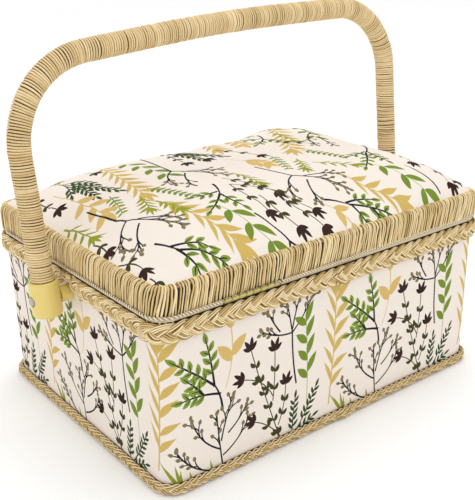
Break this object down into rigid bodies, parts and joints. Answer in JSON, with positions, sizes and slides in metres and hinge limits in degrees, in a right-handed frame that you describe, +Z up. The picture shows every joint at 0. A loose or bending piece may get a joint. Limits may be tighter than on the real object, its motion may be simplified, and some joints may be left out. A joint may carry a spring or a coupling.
{
  "type": "sewing box with trays",
  "caption": "Rounded rectangular fabric-covered sewing box with a padded hinged lid, swinging wrapped handle and lift-out compartment trays.",
  "frame": {"origin": "centre of the underside, on the surface the box stands on", "axes": "+Z up, X along the length, -Y towards the front, hinges at the back (+Y)"},
  "size_m": [0.3692, 0.24, 0.2903],
  "materials": {
    "board": "raw",
    "print_cotton": "woven",
    "lining_satin": "satin",
    "base_cloth": "woven",
    "raffia": "twisted paper straw",
    "raffia_braid": "plaited straw",
    "piping": "twisted cord",
    "foam": "matte",
    "pincushion": "woven",
    "elastic": "ribbed",
    "tray_plastic": "smooth",
    "ferrule_plastic": "moulded",
    "handle_core": "extruded",
    "brass": "plated",
    "steel": "plated"
  },
  "bodies": {
    "box": {"base_cloth": "base_cloth", "base_panel": "board", "front_panel": "board", "back_panel": "board", "left_panel": "board", "right_panel": "board", "corner_block_front_left": "board", "corner_block_front_right": "board", "corner_block_back_left": "board", "corner_block_back_right": "board", "body_cover": "print_cotton", "body_lining": "lining_satin", "rim_braid": "raffia_braid", "base_braid": "raffia_braid", "ledge_left": "board", "ledge_right": "board", "spacer_left": "ferrule_plastic", "spacer_right": "ferrule_plastic", "hinge_body_leaf_left": "brass", "hinge_body_leaf_right": "brass", "hinge_body_screws": "brass"},
    "lid": {"lid_frame": "board", "lid_board": "board", "lid_wrap": "raffia", "lid_pad": "foam", "lid_cover": "print_cotton", "lid_piping": "piping", "lid_lining": "lining_satin", "pincushion": "pincushion", "lid_pocket": "lining_satin", "pocket_elastic": "elastic", "hinge_lid_leaf_left": "brass", "hinge_lid_leaf_right": "brass", "hinge_pin_left": "brass", "hinge_pin_right": "brass", "hinge_lid_screws": "brass"},
    "handle_pivots": {"pivot_screw_left": "steel", "pivot_screw_right": "steel", "pivot_nuts": "steel"},
    "handle": {"handle_rod": "handle_core", "handle_wrap": "raffia", "ferrule_left": "ferrule_plastic", "ferrule_right": "ferrule_plastic"},
    "upper_tray": {"upper_tray": "tray_plastic"},
    "lower_tray": {"lower_tray": "tray_plastic"}
  },
  "joints": [
    {"name": "lid_hinge", "type": "hinge", "parent": "box", "child": "lid", "pos_m": [0, 0.115, 0.1315], "axis": [-1, 0, 0], "range_deg": [0, 95]},
    {"name": "handle_push", "type": "hinge", "parent": "box", "child": "handle_pivots", "pos_m": [0, 0, 0.1122], "axis": [-1, 0, 0], "range_deg": [0, 114.01]},
    {"name": "handle_swing", "type": "hinge", "parent": "handle_pivots", "child": "handle", "pos_m": [0, 0, 0.1122], "axis": [-1, 0, 0], "range_deg": [-125, 0]},
    {"name": "upper_tray_lift", "type": "slide", "parent": "box", "child": "upper_tray", "axis": [0, 0, 1], "range_m": [0, 0.013]},
    {"name": "lower_tray_lift", "type": "slide", "parent": "box", "child": "lower_tray", "axis": [0, 0, 1], "range_m": [0, 0.014]}
  ],
  "couplings": [
    {"joint": "handle_push", "follows": "lid_hinge", "ratio": 1.2}
  ]
}
